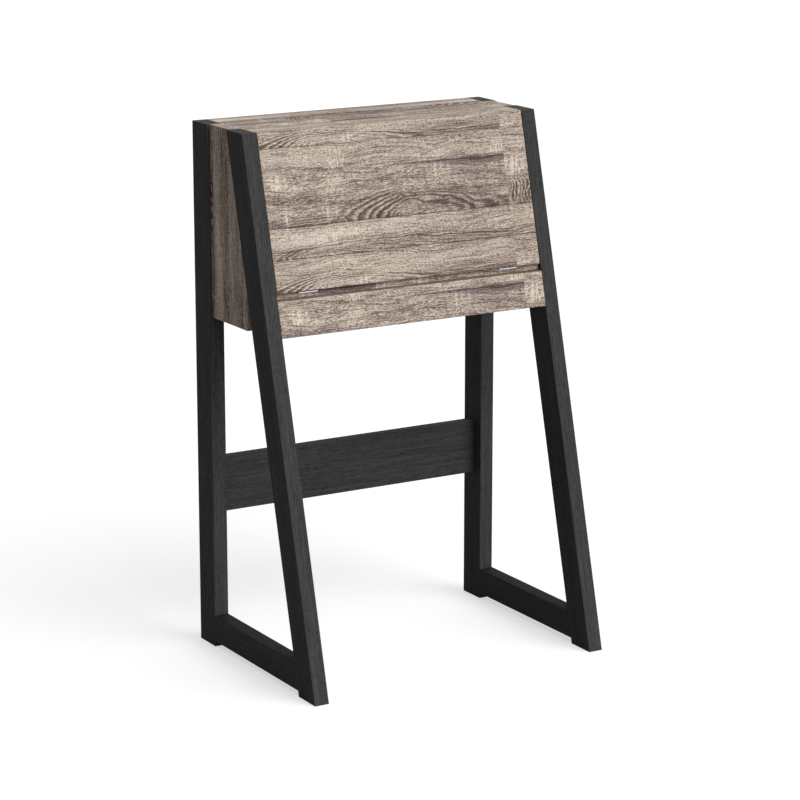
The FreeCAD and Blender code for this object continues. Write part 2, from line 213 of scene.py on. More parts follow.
def black_laminate(name, turn, upper=1.0):
    """Black grain laminate whose grain follows the object's X axis once the object is turned. Painted shade
    darkens faces that look to the left or right, and leaves upper of the colour on faces that look up."""
    material, tree = new_material(name)
    coordinates = add(tree, "ShaderNodeTexCoord").outputs
    place = laid(tree, coordinates["Object"], turn)
    normal = axes(tree, coordinates["Normal"])
    streak = stretched_noise(tree, place, 0.12, 0.0022, 1)
    fibre = stretched_noise(tree, place, 0.03, 0.0007, 2)
    pore = fade(tree, stretched_noise(tree, place, 0.011, 0.0006, 3, 0.0), 0.58, 0.72)
    cloud = stretched_noise(tree, place, 0.35, 0.03, 4)
    # The small slopes of the eased edges are paler: painted highlight, with some wear
    highlit_worn_arris = arris(tree, normal)
    tone = weighed(tree, 0.0, (streak, 0.5), (fibre, 0.3), (cloud, 0.2), (pore, -0.25), (highlit_worn_arris, 0.12))
    colour = tones(tree, tone, (0.2, (0.025, 0.025, 0.025)), (0.5, (0.056, 0.056, 0.056)),
                   (0.75, (0.088, 0.088, 0.088)))
    # Painted shade on the faces that look to the left or right
    wide = looking(tree, maths(tree, "ABSOLUTE", normal[0]))
    colour = tinted(tree, colour, wide, sideways_painted_shade)
    # Painted shade on the faces that look up
    above = looking(tree, normal[2])
    colour = tinted(tree, colour, above, (upper, upper, upper))
    roughness = maths(tree, "MULTIPLY_ADD", tone, -0.2, 0.72)
    shader = shade(tree, colour, roughness, tone, depth=0.0006)
    shader.inputs["Specular IOR Level"].default_value = laminate_sheen
    return material


joints = {joint["name"]: joint for joint in frame["joints"]}
flap_joint = joints["flap_drop"]
lean = math.radians(flap_joint["range_deg"][1] - 90)
quarter = math.radians(90)
side_frame_finishes = {
    "rear_post": black_laminate("black_upright_grain", (0, quarter, 0)),
    "front_leg": black_laminate("black_leaning_grain", (lean, quarter, 0)),
    "floor_rail": black_laminate("black_floor_rail_grain", (0, 0, -quarter), floor_rail_top_painted_shade),
}
for piece, finish in side_frame_finishes.items():
    for side in ("left_", "right_"):
        nodes[side + piece].data.materials[0] = finish

# Back rail
# A wide board in the same black laminate, set back between the rear posts, which it holds upright. Its grain
# runs across the desk.

nodes["back_rail"].data.materials[0] = black_laminate("black_rail_grain", (0, 0, 0))

# Cabinet boards
# Particle board faced with a printed paper of grey-brown sawn oak, and edged with bands of the same print.
# The sheet repeats: four planks, one above the other, with arched figure, bruised bands and pale saw marks.

# An edge between two planks has its height on the sheet, and the place along it where its dark line begins
print_length = 0.600
print_width = 0.2626
plank_edges = ((0.060, 0.0), (0.118, 0.0), (0.2136, 0.38))
plank_apart = 0.4
line_half = 0.0018
line_core = 0.0005
line_fade = 0.08
# An arch is round near its heart, and its rings sway along the sheet, up it and one from another
round_heart = 14.0
sway_along = 0.05
sway_up = 3.0
sway_ring = 0.9


def patch(tree, place, along, across, half_length, half_width):
    """A soft-edged patch of the print, 1 in its middle and 0 outside."""
    offset = add(tree, "ShaderNodeVectorMath", operation="MULTIPLY_ADD")
    feed(tree, offset.inputs[0], place)
    offset.inputs[1].default_value = (1 / half_length, 1 / half_width, 0)
    offset.inputs[2].default_value = (-along / half_length, -across / half_width, 0)
    length = add(tree, "ShaderNodeVectorMath", operation="LENGTH")
    tree.links.new(offset.outputs[0], length.inputs[0])
    return fade(tree, length.outputs["Value"], 1.0, 0.35)


def strongest(tree, place, patches):
    """The strongest of several patches at each place, from rows of a patch's sizes and its strength."""
    result = 0.0
    for *sizes, strength in patches:
        mark = times(tree, patch(tree, place, *sizes), strength)
        result = most(tree, mark, result)
    return result


def late_wood(tree, count):
    """Dark late wood of counted rings, some darker than others, each with one sharp edge."""
    ring = maths(tree, "FRACT", count)
    band = times(tree, fade(tree, ring, 0.15, 0.7), fade(tree, ring, 1.0, 0.88))
    chance = add(tree, "ShaderNodeTexWhiteNoise", noise_dimensions="1D")
    feed(tree, chance.inputs["W"], maths(tree, "FLOOR", count))
    return times(tree, band, maths(tree, "MULTIPLY_ADD", chance.outputs["Value"], 0.5, 0.5))


def arch_count(tree, place, heart, foot, left, right, tall, seed):
    """Ring count of an arch, whose rings lie ever wider apart along its foot, to the left and right of its
    heart, and evenly up its height."""
    split = axes(tree, place)
    sway = maths(tree, "SUBTRACT", stretched_noise(tree, place, 0.06, 0.025, seed), 0.5)
    offset = maths(tree, "MULTIPLY_ADD", sway, sway_along, maths(tree, "SUBTRACT", split[0], heart))
    run = most(tree, maths(tree, "DIVIDE", offset, right), maths(tree, "DIVIDE", offset, -left))
    run = maths(tree, "SQRT", maths(tree, "MULTIPLY_ADD", run, run, round_heart ** 2))
    run = maths(tree, "SUBTRACT", run, round_heart)
    height = maths(tree, "SUBTRACT", split[1], foot)
    climb = maths(tree, "DIVIDE", maths(tree, "MULTIPLY_ADD", sway, sway_up * tall, height), tall)
    climb = most(tree, climb, 0.0)
    squares = maths(tree, "MULTIPLY_ADD", climb, climb, run)
    jitter = stretched_noise(tree, place, 0.025, 0.006, seed + 0.5)
    return maths(tree, "MULTIPLY_ADD", jitter, sway_ring, maths(tree, "SQRT", squares))


oak_print = bpy.data.node_groups.new("sawn_oak_print", "ShaderNodeTree")
oak_print.interface.new_socket("Sheet", in_out="INPUT", socket_type="NodeSocketVector")
oak_print.interface.new_socket("Colour", in_out="OUTPUT", socket_type="NodeSocketColor")
oak_print.interface.new_socket("Relief", in_out="OUTPUT", socket_type="NodeSocketFloat")
sheet_in = add(oak_print, "NodeGroupInput")
sheet_out = add(oak_print, "NodeGroupOutput")
sheet = add(oak_print, "ShaderNodeVectorMath", operation="WRAP")
oak_print.links.new(sheet_in.outputs["Sheet"], sheet.inputs[0])
sheet.inputs[1].default_value = (print_length, print_width, 10.0)
sheet.inputs[2].default_value = (0, 0, -10.0)
sheet_along, sheet_across = axes(oak_print, sheet.outputs[0])[:2]
plank = 0.0
edge_line = 0.0
for edge, line_start in plank_edges:
    plank = maths(oak_print, "ADD", maths(oak_print, "GREATER_THAN", sheet_across, edge), plank)
    from_edge = maths(oak_print, "ABSOLUTE", maths(oak_print, "SUBTRACT", sheet_across, edge))
    line = times(oak_print, fade(oak_print, from_edge, line_half, line_core),
                 fade(oak_print, sheet_along, line_start - line_fade, line_start))
    edge_line = most(oak_print, line, edge_line)
last_line = fade(oak_print, sheet_across, print_width - line_half, print_width)
edge_line = most(oak_print, last_line, edge_line)
plank_depth = times(oak_print, plank, plank_apart)
on_sheet = vector(oak_print, sheet_along, sheet_across, plank_depth)
mottle = stretched_noise(oak_print, on_sheet, 0.05, 0.010, 29)


def on_plank(number):
    """1 on one of the planks, counted from the foot of the sheet, and 0 on the others."""
    return maths(oak_print, "COMPARE", plank, float(number), 0.1)


# Arches stand on the lower edges of the planks: the plank, the place of the heart, the height of the foot,
# how wide the rings stand to the left and to the right, how high they stand, the first and last ring that
# show, the last that shows right of the heart, and the seed
heart_fade = 0.050
right_strength = 0.75
arches = (
    (2, 0.380, 0.117, 0.00145, 0.0028, 0.0056, 3.0, 11.5, 9.0, 11),
    (0, 0.186, -0.001, 0.00135, 0.0046, 0.0034, 2.0, 11.0, 8.0, 17),
    (1, 0.155, 0.059, 0.00110, 0.0057, 0.0028, 1.5, 9.5, 6.0, 19),
    (2, 0.598, 0.124, 0.00112, 0.0011, 0.0026, 2.0, 6.0, 6.0, 53),
)
rings = 0.0
figure = 0.0
for home, heart, foot, left, right, tall, first, last, far, seed in arches:
    count = arch_count(oak_print, on_sheet, heart, foot, left, right, tall, seed)
    on_left = fade(oak_print, sheet_along, heart, heart - heart_fade)
    inner = times(oak_print, fade(oak_print, count, first + 0.5, first + 2.5), right_strength)
    on_right = times(oak_print, fade(oak_print, count, far + 1.0, far - 1.0), inner)
    strength = times(oak_print, fade(oak_print, count, first - 1.0, first + 1.0),
                     fade(oak_print, count, last + 1.5, last - 2.5), most(oak_print, on_left, on_right),
                     on_plank(home))
    figure = most(oak_print, strength, figure)
    late = times(oak_print, late_wood(oak_print, count), strength)
    rings = most(oak_print, late, rings)

# Between them: a wavy band of level rings on one plank, a curl by the butt joint, faint level rings all
# over, and a few along two of the edges
wave_plank = 1
wave_radian = 0.095
wave_start = 0.130
wave_foot = 0.069
wave_middle = 0.010
wave_half = 0.016
wave_core = 0.003
wave_strength = 0.75
wave = maths(oak_print, "MULTIPLY_ADD", sheet_along, 1 / wave_radian, -wave_start / wave_radian)
wave = maths(oak_print, "SINE", wave)
wave_sway = stretched_noise(oak_print, on_sheet, 0.06, 0.02, 23)
wave_height = maths(oak_print, "SUBTRACT", sheet_across, wave_foot)
wave_height = weighed(oak_print, wave_height, (wave, -0.006), (wave_sway, 0.014))
wave_share = maths(oak_print, "ABSOLUTE", maths(oak_print, "SUBTRACT", wave_height, wave_middle))
wave_share = times(oak_print, fade(oak_print, wave_share, wave_half, wave_core), wave_strength,
                   on_plank(wave_plank))
curl_radian = 0.0065
curl_turn = maths(oak_print, "SINE", times(oak_print, sheet_across, 1 / curl_radian))
curl_sway = stretched_noise(oak_print, on_sheet, 0.02, 0.02, 59)
curl_place = weighed(oak_print, sheet_along, (curl_turn, 0.004), (curl_sway, 0.02))
curl_share = patch(oak_print, on_sheet, 0.032, 0.142, 0.050, 0.036)
level_strength = 0.50
level_sway = stretched_noise(oak_print, on_sheet, 0.14, 0.018, 61)
level_height = weighed(oak_print, sheet_across, (level_sway, 0.035))
level_share = times(oak_print, fade(oak_print, mottle, 0.36, 0.64), level_strength)
seam_height = weighed(oak_print, sheet_across, (curl_sway, 0.008), (level_sway, 0.012))
seams = (
    (0.510, 0.008, 0.150, 0.016, 0.7),
    (0.160, 0.124, 0.130, 0.018, 1.0),
)
seam_share = strongest(oak_print, on_sheet, seams)

# What the rings are counted by, how far they lie apart, and how strongly they show
lines = (
    (wave_height, 0.0052, wave_share),
    (curl_place, 0.0080, curl_share),
    (level_height, 0.0048, level_share),
    (seam_height, 0.0048, seam_share),
)
for height, spacing, share in lines:
    late = late_wood(oak_print, maths(oak_print, "DIVIDE", height, spacing))
    figure = most(oak_print, share, figure)
    rings = most(oak_print, times(oak_print, late, share), rings)

# Ground: slow tone and streaks along the planks, fibre, speckle, dark open pores and pale flecks, all of
# which wander a little
wander = maths(oak_print, "SUBTRACT", stretched_noise(oak_print, on_sheet, 0.13, 0.11, 89, 1.0), 0.5)
wander_across = weighed(oak_print, sheet_across, (wander, 0.045))
in_fibre = vector(oak_print, sheet_along, wander_across, plank_depth)
slow = stretched_noise(oak_print, in_fibre, 0.30, 0.026, 31, 1.0)
streak = stretched_noise(oak_print, in_fibre, 0.34, 0.0046, 83, 1.0)
fibre = stretched_noise(oak_print, in_fibre, 0.13, 0.0018, 37, 1.0)
speckle = stretched_noise(oak_print, in_fibre, 0.0042, 0.0013, 41, 0.0)
pore = fade(oak_print, stretched_noise(oak_print, in_fibre, 0.007, 0.0011, 43, 0.0), 0.54, 0.66)
fleck = fade(oak_print, stretched_noise(oak_print, in_fibre, 0.005, 0.0011, 67, 0.0), 0.54, 0.66)
ground = weighed(
    oak_print, -1.10,
    (streak, 0.42), (fibre, 0.84), (speckle, 1.04), (pore, -0.22), (fleck, 0.18),
)

# Saw marks: short pale strokes across the grain, and a few along it, in clusters given as patches
along_strength = 0.7
stroke = fade(oak_print, stretched_noise(oak_print, on_sheet, 0.0022, 0.026, 47, 0.0), 0.54, 0.62)
along_stroke = fade(oak_print, stretched_noise(oak_print, on_sheet, 0.012, 0.0020, 73, 0.0), 0.60, 0.70)
stroke = most(oak_print, stroke, times(oak_print, along_stroke, along_strength))
saw_clusters = (
    (0.224, 0.236, 0.030, 0.034),
    (0.259, 0.008, 0.018, 0.016),
    (0.093, 0.200, 0.036, 0.018),
    (0.450, 0.200, 0.032, 0.018),
    (0.586, 0.230, 0.026, 0.022),
    (0.025, 0.195, 0.038, 0.030),
    (0.107, 0.134, 0.009, 0.030),
    (0.198, 0.140, 0.007, 0.036),
    (0.180, 0.096, 0.110, 0.016),
)
saw = strongest(oak_print, on_sheet, [(*cluster, 1.0) for cluster in saw_clusters])
saw = times(oak_print, saw, stroke)

# Bruised bands are dark and a little purple, bleached ones pale: patches with their strength
bruise_tint = (0.96, 0.93, 1.05)
bruises = (
    (0.540, 0.209, 0.190, 0.014, 0.8),
    (0.500, 0.211, 0.150, 0.008, 1.0),
    (0.530, 0.150, 0.140, 0.060, 0.40),
    (0.120, 0.168, 0.120, 0.018, 0.42),
    (0.540, 0.008, 0.140, 0.012, 0.7),
    (0.280, 0.122, 0.100, 0.018, 0.9),
    (0.400, 0.135, 0.120, 0.024, 0.45),
    (0.120, 0.124, 0.140, 0.010, 0.4),
)
bruise = strongest(oak_print, on_sheet, bruises)
bruise = times(oak_print, bruise, fade(oak_print, slow, 0.85, 0.30))
bleaches = (
    (0.200, 0.096, 0.300, 0.028, 1.0),
    (0.215, 0.185, 0.045, 0.022, 1.0),
    (0.270, 0.028, 0.280, 0.030, 1.1),
    (0.250, 0.240, 0.300, 0.030, 0.5),
)
bleach = strongest(oak_print, on_sheet, bleaches)

# The ground is quieter under the figure and the bruises, and the lines between the planks come and go
quiet = weighed(oak_print, 1.0, (bruise, -0.4), (figure, -0.5))
edge_line = times(oak_print, edge_line, fade(oak_print, mottle, 0.28, 0.52))
tone = weighed(
    oak_print, 0.378,
    (ground, quiet), (slow, 0.38), (rings, -0.66), (figure, 0.06),
    (edge_line, -0.34), (bruise, -0.18), (bleach, 0.13), (saw, 0.38),
)
print_tones = tones(
    oak_print, tone,
    (0.05, (0.085, 0.064, 0.050)),
    (0.25, (0.160, 0.126, 0.103)),
    (0.42, (0.270, 0.216, 0.180)),
    (0.56, (0.390, 0.315, 0.262)),
    (0.74, (0.545, 0.455, 0.380)),
    (0.95, (0.720, 0.625, 0.535)),
)
feed(oak_print, sheet_out.inputs["Colour"], tinted(oak_print, print_tones, bruise, bruise_tint))
feed(oak_print, sheet_out.inputs["Relief"], tone)

arris_stain = (0.72, 0.70, 0.68)
no_tint = (1.0, 1.0, 1.0)


def oak_laminate(name, turn, start, tint=no_tint):
    """Oak print laid on a board from a place on the sheet; a tint paints shade on its long edges. Once the
    board is turned its grain follows X on its faces and long edges, and Y on its ends."""
    material, tree = new_material(name)
    coordinates = add(tree, "ShaderNodeTexCoord").outputs
    place = axes(tree, laid(tree, coordinates["Object"], turn, start))
    normal = axes(tree, laid(tree, coordinates["Normal"], turn))
    end = looking(tree, maths(tree, "ABSOLUTE", normal[0]))
    edge = looking(tree, maths(tree, "ABSOLUTE", normal[1]))
    banded = most(tree, end, edge)
    along = maths(tree, "SUBTRACT", place[1], place[0])
    along = maths(tree, "MULTIPLY_ADD", end, along, place[0])
    across = maths(tree, "SUBTRACT", place[2], place[1])
    across = maths(tree, "MULTIPLY_ADD", banded, across, place[1])
    printed = add(tree, "ShaderNodeGroup", node_tree=oak_print)
    tree.links.new(vector(tree, along, across, 0.0), printed.inputs["Sheet"])
    colour = tinted(tree, printed.outputs["Colour"], arris(tree, normal), arris_stain)
    # Painted shade on the long edges, where a tint is given
    colour = tinted(tree, colour, edge, tint)
    roughness = maths(tree, "MULTIPLY_ADD", printed.outputs["Relief"], -0.15, 0.75)
    shader = shade(tree, colour, roughness, printed.outputs["Relief"], depth=0.0003)
    shader.inputs["Specular IOR Level"].default_value = laminate_sheen
    return material


upright_oak = oak_laminate("oak_upright_grain", (0, quarter, 0), (-0.60, -0.045, 0.0))
nodes["left_side_panel"].data.materials[0] = upright_oak
nodes["right_side_panel"].data.materials[0] = upright_oak
nodes["top_panel"].data.materials[0] = oak_laminate("oak_top", (0, 0, math.pi), (0.50, 0.30, 0.05))
nodes["desk_board"].data.materials[0] = oak_laminate("oak_desk_board", (0, 0, 0), (0.075, 0.13, -0.533))
nodes["back_panel"].data.materials[0] = oak_laminate("oak_back_panel", (-quarter, 0, 0), (0.10, -0.70, 0.0))

# The upper edge of the apron is a ledge in the seam below the flap. Painted shade darkens it and the lower
# edge, so that it shows as a dark line
ledge_painted_shade = (0.46, 0.44, 0.42)
apron_oak = oak_laminate("oak_apron", (-quarter, 0, 0), (0.350, -0.5014, 0.0), ledge_painted_shade)
nodes["apron"].data.materials[0] = apron_oak

# Flap
# The writing surface when it is down, and the front of the cabinet when it is up. It has the same print as
# the apron, laid so that a plank ends near the right-hand edge.

nodes["flap"].data.materials[0] = oak_laminate("oak_flap", (-quarter, 0, 0), (0.3603, -0.7462, 0.0))

# Hinges
# Two back-flap hinges of bright zinc-plated steel. Their leaves lie flush in the desk board and the flap,
# held by two countersunk screws each, and their curled knuckles sit in the seam round a plain pin.

# The middle of an eased edge lies this share of the ease away from the sharp corner
ease_middle = 0.3
round_steps = 32
corner_steps = 6
plate_crease = math.radians(50)


def plated_steel(name, colour, low, high):
    """Plated steel with fine rolling marks and a faint bloom, between two values of roughness."""
    material, tree = new_material(name)
    place = add(tree, "ShaderNodeTexCoord").outputs["Object"]
    marks = stretched_noise(tree, place, 0.02, 0.0006, 5)
    cloud = stretched_noise(tree, place, 0.012, 0.012, 7)
    tone = weighed(tree, 0.0, (marks, 0.5), (cloud, 0.5))
    darker = tuple(channel * 0.88 for channel in colour)
    colours = tones(tree, tone, (0.3, darker), (0.7, colour))
    roughness = maths(tree, "MULTIPLY_ADD", tone, high - low, low)
    shader = shade(tree, colours, roughness, marks, depth=0.00005)
    shader.inputs["Metallic"].default_value = 1.0
    return material


def eased(outline, distance):
    """An outline moved into its plate, which lies on the outline's left."""
    shifted = []
    for index, here in enumerate(outline):
        first = (here - outline[index - 1]).normalized()
        second = (outline[(index + 1) % len(outline)] - here).normalized()
        left = Vector((-first.y - second.y, first.x + second.x))
        shifted.append(here + left * distance / (1 + first.dot(second)))
    return shifted


def arc(middle, radius, first, last, steps=16):
    """Points along an arc between two angles in degrees."""
    points = []
    for index in range(steps + 1):
        angle = math.radians(first + (last - first) * index / steps)
        points.append(Vector((middle[0] + radius * math.cos(angle), middle[1] + radius * math.sin(angle))))
    return points


def hole(middle, radius):
    """Outline of a round hole, with the plate on its left."""
    return arc(middle, radius, 360, 0, round_steps)[:-1]


def plate(shape, outline, holes, thickness, ease, place):
    """Adds a flat plate with eased edges to a mesh. Holes have an outline at the foot and one at the top."""
    bend = ease_middle * ease
    levels = (
        (0, 2 * ease), (0, ease), (bend, bend), (ease, 0),
        (thickness - ease, 0), (thickness - bend, bend), (thickness, ease), (thickness, 2 * ease),
    )
    rows = []
    for height, inset in levels:
        loops = [eased(outline, inset)]
        for foot, face in holes:
            between = [low.lerp(high, height / thickness) for low, high in zip(foot, face)]
            loops.append(eased(between, inset))
        rows.append([[shape.verts.new(place @ Vector((*point, height))) for point in loop]
                     for loop in loops])
    for lower, upper in zip(rows, rows[1:]):
        for below, above in zip(lower, upper):
            for index in range(len(below)):
                shape.faces.new((below[index - 1], below[index], above[index], above[index - 1]))
    for row in (rows[0], rows[-1]):
        rims = [shape.edges.get((loop[index - 1], loop[index]))
                for loop in row for index in range(len(loop))]
        bmesh.ops.triangle_fill(shape, use_beauty=True, edges=rims)


def tube(shape, outer, inner, length, ease, place):
    """Adds a short tube along Z with eased ends to a mesh."""
    bend = ease_middle * ease
    profile = (
        (inner, 0), (outer - ease, 0), (outer - bend, bend), (outer, ease),
        (outer, length - ease), (outer - bend, length - bend), (outer - ease, length), (inner, length),
    )
    rings = []
    for index in range(round_steps):
        angle = 2 * math.pi * index / round_steps
        across = Vector((math.cos(angle), math.sin(angle), 0))
        rings.append([shape.verts.new(place @ (across * radius + Vector((0, 0, height))))
                      for radius, height in profile])
    for index in range(round_steps):
        for step in range(len(profile)):
            shape.faces.new((rings[index - 1][step - 1], rings[index][step - 1],
                             rings[index][step], rings[index - 1][step]))


def finished(name, shape, finish):
    """Object of a mesh with its faces outwards, smooth but for its sharp edges."""
    bmesh.ops.recalc_face_normals(shape, faces=shape.faces)
    mesh = bpy.data.meshes.new(name)
    shape.to_mesh(mesh)
    shape.free()
    mesh.materials.append(finish)
    mesh.shade_smooth()
    mesh.set_sharp_from_angle(angle=plate_crease)
    piece = bpy.data.objects.new(name, mesh)
    bpy.context.scene.collection.objects.link(piece)
    return piece


bright_steel = plated_steel("bright_zinc_plate", (0.97, 0.97, 0.96), 0.20, 0.36)
pivot = Vector(flap_joint["pos_m"])
flap_opening = Matrix.Rotation(math.radians(flap_joint["range_deg"][1]), 4, "X")
opened = Matrix.Translation(pivot) @ flap_opening @ Matrix.Translation(-pivot)
shut = opened.inverted()
mirrored = Matrix.Scale(-1, 4, (1, 0, 0))
sides = {"right_": Matrix.Identity(4), "left_": mirrored}
hinge_half = 0.020
knuckle_length = 2 * hinge_half / 3
knuckle_gap = 0.0003
knuckle_radius = 0.0024
pin_hole = 0.00125
leaf_width = 0.016
leaf_thickness = 0.0012
leaf_corner = 0.0015
leaf_notch = 0.0034
leaf_ease = 0.00012
knuckle_ease = 0.0002
screw_spread = 0.010
screw_set = 0.01067
screw_mouth = 0.00262
screw_foot = 0.00138
inner_end = knuckle_length / 2 - knuckle_gap / 2
outer_end = knuckle_length / 2 + knuckle_gap / 2
far_corners = arc((hinge_half - leaf_corner, leaf_width - leaf_corner), leaf_corner, 0, 90, corner_steps)
far_corners += arc((leaf_corner - hinge_half, leaf_width - leaf_corner), leaf_corner, 90, 180, corner_steps)
leaf_outlines = {
    "board": [(-hinge_half, 0), (-outer_end, 0), (-outer_end, leaf_notch),
              (outer_end, leaf_notch), (outer_end, 0), (hinge_half, 0)],
    "flap": [(-hinge_half, leaf_notch), (-inner_end, leaf_notch), (-inner_end, 0),
             (inner_end, 0), (inner_end, leaf_notch), (hinge_half, leaf_notch)],
}
leaf_knuckles = {"board": (-1, 1), "flap": (0,)}
leaf_holes = []
for spread in (-screw_spread, screw_spread):
    leaf_holes.append((hole((spread, screw_set), screw_foot), hole((spread, screw_set), screw_mouth)))
leaf_low, leaf_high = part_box("right_hinge_board_leaf")
hinge_middle = Matrix.Translation(((leaf_low[0] + leaf_high[0]) / 2, pivot.y, pivot.z))
half_turn = Matrix.Rotation(math.radians(180), 4, "Z")
along_pin = Matrix.Rotation(quarter, 4, "Y")
leaf_places = {"board": hinge_middle, "flap": shut @ hinge_middle @ half_turn}
leaf_bodies = {"board": "frame", "flap": "flap"}
for side, handed in sides.items():
    for half, leaf_place in leaf_places.items():
        leaf = bmesh.new()
        outline = [Vector(point) for point in leaf_outlines[half]] + far_corners
        raised = Matrix.Translation((0, 0, knuckle_radius - leaf_thickness))
        plate(leaf, outline, leaf_holes, leaf_thickness, leaf_ease, handed @ leaf_place @ raised)
        for knuckle in leaf_knuckles[half]:
            knuckle_start = Matrix.Translation((knuckle * knuckle_length - inner_end, 0, 0))
            tube(leaf, knuckle_radius, pin_hole, 2 * inner_end, knuckle_ease,
                 handed @ leaf_place @ knuckle_start @ along_pin)
        piece = finished(side + "hinge_leaf_on_" + half, leaf, bright_steel)
        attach(piece, leaf_bodies[half])
        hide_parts(side + "hinge_" + half + "_leaf")
    nodes[side + "hinge_pin"].data.materials[0] = bright_steel

# Screws of hinges and stays
# Small countersunk wood screws with a cross recess, zinc-plated like the fittings they hold. Their heads lie
# flush in the hinge leaves and in the feet of the stay brackets.

turn_step = 0.6
fixing_crease = math.radians(35)
screw_tip = 0.0003
shank_taper = 0.9


def seats(node):
    """Of each fixing in a CAD group: the middle and direction of its widest flat end, and its own middle."""
    shape = bmesh.new()
    shape.from_mesh(nodes[node].data)
    bmesh.ops.remove_doubles(shape, verts=shape.verts, dist=1e-6)
    bmesh.ops.dissolve_limit(shape, angle_limit=0.01, verts=shape.verts, edges=shape.edges)
    found = []
    waiting = set(shape.faces)
    for first in shape.faces:
        if first not in waiting:
            continue
        waiting.remove(first)
        solid = [first]
        for face in solid:
            for edge in face.edges:
                for other in edge.link_faces:
                    if other in waiting:
                        waiting.remove(other)
                        solid.append(other)
        points = [vertex.co for face in solid for vertex in face.verts]
        low = Vector([min(point[axis] for point in points) for axis in range(3)])
        high = Vector([max(point[axis] for point in points) for axis in range(3)])
        widest = max(solid, key=lambda face: face.calc_area())
        found.append((widest.calc_center_median(), widest.normal.copy(), (low + high) / 2))
    shape.free()
    return found


def fixing_tree(name, *sizes):
    """A tree for a small fixing, with its sizes as named inputs."""
    tree = bpy.data.node_groups.new(name, "GeometryNodeTree")
    tree.interface.new_socket("Places", in_out="INPUT", socket_type="NodeSocketGeometry")
    for size in sizes:
        tree.interface.new_socket(size, in_out="INPUT", socket_type="NodeSocketFloat")
    tree.interface.new_socket("Finish", in_out="INPUT", socket_type="NodeSocketMaterial")
    tree.interface.new_socket("Fixings", in_out="OUTPUT", socket_type="NodeSocketGeometry")
    return tree, add(tree, "NodeGroupInput").outputs


def moved(tree, solid, height):
    """A solid of a fixing, moved along its axis."""
    made = add(tree, "GeometryNodeTransform")
    tree.links.new(solid, made.inputs["Geometry"])
    feed(tree, made.inputs["Translation"], vector(tree, 0.0, 0.0, height))
    return made.outputs["Geometry"]


def round_bar(tree, foot, top, length):
    """A round bar of a fixing from its foot up, as thick at foot and top as given."""
    made = add(tree, "GeometryNodeMeshCone")
    made.inputs["Vertices"].default_value = round_steps
    feed(tree, made.inputs["Radius Bottom"], foot)
    feed(tree, made.inputs["Radius Top"], top)
    feed(tree, made.inputs["Depth"], length)
    return made.outputs["Mesh"]


def joined(tree, *solids):
    """Several solids of a fixing as one."""
    made = add(tree, "GeometryNodeJoinGeometry")
    for solid in solids:
        tree.links.new(solid, made.inputs["Geometry"])
    return made.outputs["Geometry"]


def cross_recess(tree, reach, width, depth):
    """The two blades that sink a cross into the top of a fixing."""
    blades = []
    for long, wide in ((reach, width), (width, reach)):
        made = add(tree, "GeometryNodeMeshCube")
        tree.links.new(vector(tree, long, wide, times(tree, depth, 2.0)), made.inputs["Size"])
        blades.append(made.outputs["Mesh"])
    return blades


def cut(tree, solid, *tools):
    """A solid of a fixing with the shapes of some tools taken out."""
    made = add(tree, "GeometryNodeMeshBoolean", operation="DIFFERENCE", solver="EXACT")
    tree.links.new(solid, made.inputs["Mesh 1"])
    for tool in tools:
        tree.links.new(tool, made.inputs["Mesh 2"])
    return made.outputs["Mesh"]


def end_tree(tree, sizes, solid):
    """Ends a fixing's tree: one solid on every place, turned as the place says."""
    turn = add(tree, "GeometryNodeInputNamedAttribute", data_type="FLOAT_VECTOR")
    turn.inputs["Name"].default_value = "turn"
    turned = add(tree, "FunctionNodeEulerToRotation")
    tree.links.new(next(socket for socket in turn.outputs if socket.enabled), turned.inputs[0])
    placed = add(tree, "GeometryNodeInstanceOnPoints")
    tree.links.new(sizes["Places"], placed.inputs["Points"])
    tree.links.new(solid, placed.inputs["Instance"])
    tree.links.new(turned.outputs[0], placed.inputs["Rotation"])
    real = add(tree, "GeometryNodeRealizeInstances")
    tree.links.new(placed.outputs["Instances"], real.inputs["Geometry"])
    finish = add(tree, "GeometryNodeSetMaterial")
    tree.links.new(real.outputs["Geometry"], finish.inputs["Geometry"])
    tree.links.new(sizes["Finish"], finish.inputs["Material"])
    tree.links.new(finish.outputs["Geometry"], add(tree, "NodeGroupOutput").inputs["Fixings"])


def fixings(name, tree, places, finish, **sizes):
    """Plain mesh object of a fixing set at each (middle, direction), every one turned a little further."""
    mesh = bpy.data.meshes.new(name + "_places")
    mesh.from_pydata([middle for middle, direction in places], [], [])
    turns = mesh.attributes.new("turn", "FLOAT_VECTOR", "POINT")
    for index, (middle, direction) in enumerate(places):
        turn = direction.to_track_quat("Z", "Y") @ Quaternion((0, 0, 1), turn_step * index)
        turns.data[index].vector = turn.to_euler()
    piece = bpy.data.objects.new(name, mesh)
    bpy.context.scene.collection.objects.link(piece)
    modifier = piece.modifiers.new("fixing", "NODES")
    modifier.node_group = tree
    values = {size.replace("_", " ").capitalize(): value for size, value in sizes.items()}
    values["Finish"] = finish
    for socket in tree.interface.items_tree:
        if socket.name in values:
            modifier[socket.identifier] = values[socket.name]
    seen = piece.evaluated_get(bpy.context.evaluated_depsgraph_get())
    made = bpy.data.meshes.new_from_object(seen)
    made.name = name
    piece.modifiers.remove(modifier)
    piece.data = made
    made.shade_smooth()
    made.set_sharp_from_angle(angle=fixing_crease)
    return piece


